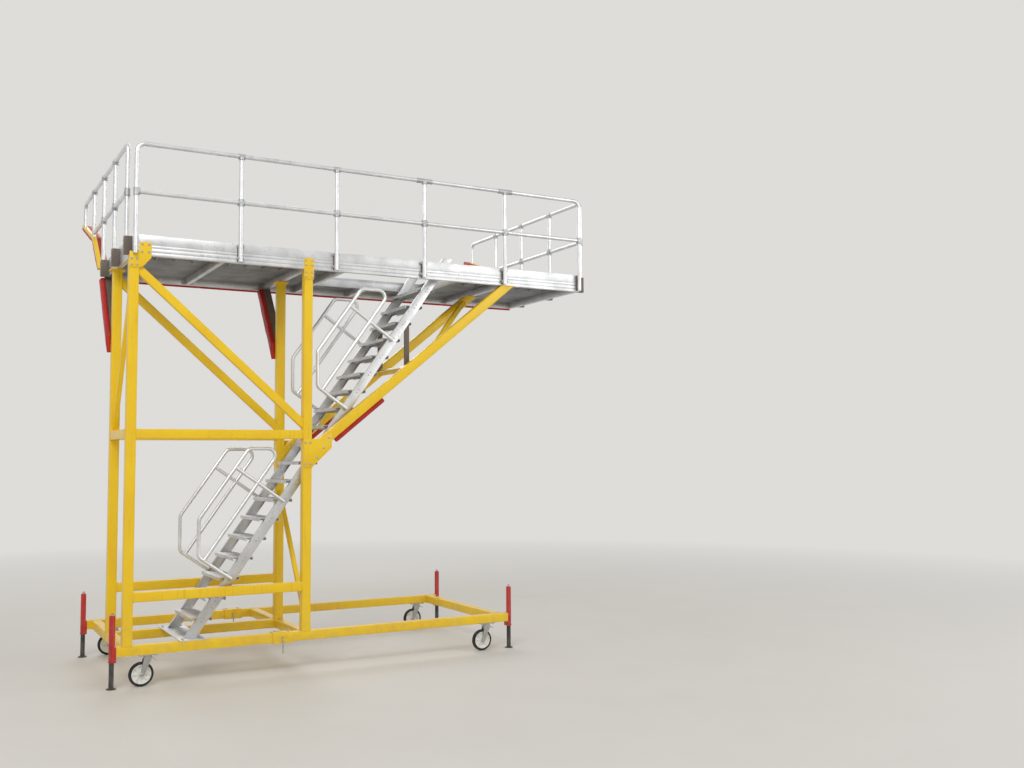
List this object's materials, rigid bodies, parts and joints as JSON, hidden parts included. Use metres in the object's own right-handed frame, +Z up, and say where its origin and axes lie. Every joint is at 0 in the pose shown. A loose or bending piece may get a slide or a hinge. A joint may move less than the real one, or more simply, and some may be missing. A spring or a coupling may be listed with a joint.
{
  "type": "mobile aircraft maintenance stand",
  "caption": "Tall wheeled steel stand with a railed aluminium deck cantilevered past its tower, an inner stair flight and padded arms that follow a fuselage.",
  "frame": {"origin": "middle of the stand's outline at floor level", "axes": "+X along the deck from the tower's end to the cantilevered end, +Y towards the aircraft, +Z up"},
  "size_m": [5.7979, 3.315, 5.661],
  "materials": {
    "steel_yellow": "yellow enamel on welded steel tube",
    "steel_grey": "dull grey-brown steel",
    "zinc": "zinc plated",
    "pad_red": "red padding",
    "paint_red": "red enamel",
    "alloy": "bright mill-finish aluminium",
    "steel_black": "black enamel",
    "rim_white": "white enamel",
    "tyre_dark": "solid dark tyre"
  },
  "bodies": {
    "frame": {"base_beams": "steel_yellow", "base_extensions": "steel_yellow", "base_middle_beam": "steel_yellow", "base_cross_beams": "steel_yellow", "splice_sleeves": "steel_yellow", "front_columns": "steel_yellow", "rear_columns": "steel_yellow", "column_head_plates": "steel_yellow", "tower_rails": "steel_yellow", "tower_diagonals": "steel_yellow", "end_braces": "steel_yellow", "arm_gussets": "steel_yellow", "arms": "steel_yellow", "arm_ties": "steel_yellow", "crown_bars": "steel_yellow", "knee_braces": "steel_grey", "rail_brackets": "steel_grey", "stair_hangers": "steel_grey", "splice_pins": "zinc", "rail_fittings": "zinc", "caster_plates": "zinc", "arm_pads": "pad_red", "knee_pads": "pad_red", "inner_bumper": "pad_red", "crown_pads": "pad_red", "jack_tubes": "paint_red", "deck_edge_beams": "alloy", "deck_joists": "alloy", "deck_planks": "alloy", "toe_boards": "alloy", "rail_posts": "alloy", "rail_tubes": "alloy", "rail_bends": "alloy", "stair_stringers": "alloy", "stair_treads": "alloy", "stair_foot_plate": "alloy", "handrail_tubes": "alloy", "handrail_bends": "alloy"},
    "jack_leg_front_left": {"jack_leg_front_left": "steel_black"},
    "caster_front_left": {"fork_front_left": "zinc"},
    "wheel_front_left": {"rim_front_left": "rim_white", "tyre_front_left": "tyre_dark"},
    "jack_leg_front_right": {"jack_leg_front_right": "steel_black"},
    "caster_front_right": {"fork_front_right": "zinc"},
    "wheel_front_right": {"rim_front_right": "rim_white", "tyre_front_right": "tyre_dark"},
    "jack_leg_rear_left": {"jack_leg_rear_left": "steel_black"},
    "caster_rear_left": {"fork_rear_left": "zinc"},
    "wheel_rear_left": {"rim_rear_left": "rim_white", "tyre_rear_left": "tyre_dark"},
    "jack_leg_rear_right": {"jack_leg_rear_right": "steel_black"},
    "caster_rear_right": {"fork_rear_right": "zinc"},
    "wheel_rear_right": {"rim_rear_right": "rim_white", "tyre_rear_right": "tyre_dark"}
  },
  "joints": [
    {"name": "jack_front_left", "type": "slide", "parent": "frame", "child": "jack_leg_front_left", "axis": [0, 0, 1], "range_m": [0, 0.2]},
    {"name": "swivel_front_left", "type": "hinge", "parent": "frame", "child": "caster_front_left", "pos_m": [-2.497, -1.5425, 0.3], "axis": [0, 0, 1], "continuous": true},
    {"name": "roll_front_left", "type": "hinge", "parent": "caster_front_left", "child": "wheel_front_left", "pos_m": [-2.559, -1.5425, 0.125], "axis": [0, 1, 0], "continuous": true},
    {"name": "jack_front_right", "type": "slide", "parent": "frame", "child": "jack_leg_front_right", "axis": [0, 0, 1], "range_m": [0, 0.2]},
    {"name": "swivel_front_right", "type": "hinge", "parent": "frame", "child": "caster_front_right", "pos_m": [1.453, -1.5425, 0.3], "axis": [0, 0, 1], "continuous": true},
    {"name": "roll_front_right", "type": "hinge", "parent": "caster_front_right", "child": "wheel_front_right", "pos_m": [1.391, -1.5425, 0.125], "axis": [0, 1, 0], "continuous": true},
    {"name": "jack_rear_left", "type": "slide", "parent": "frame", "child": "jack_leg_rear_left", "axis": [0, 0, 1], "range_m": [0, 0.2]},
    {"name": "swivel_rear_left", "type": "hinge", "parent": "frame", "child": "caster_rear_left", "pos_m": [-2.497, 0.5075, 0.3], "axis": [0, 0, 1], "continuous": true},
    {"name": "roll_rear_left", "type": "hinge", "parent": "caster_rear_left", "child": "wheel_rear_left", "pos_m": [-2.559, 0.5075, 0.125], "axis": [0, 1, 0], "continuous": true},
    {"name": "jack_rear_right", "type": "slide", "parent": "frame", "child": "jack_leg_rear_right", "axis": [0, 0, 1], "range_m": [0, 0.2]},
    {"name": "swivel_rear_right", "type": "hinge", "parent": "frame", "child": "caster_rear_right", "pos_m": [1.453, 0.5075, 0.3], "axis": [0, 0, 1], "continuous": true},
    {"name": "roll_rear_right", "type": "hinge", "parent": "caster_rear_right", "child": "wheel_rear_right", "pos_m": [1.391, 0.5075, 0.125], "axis": [0, 1, 0], "continuous": true}
  ]
}
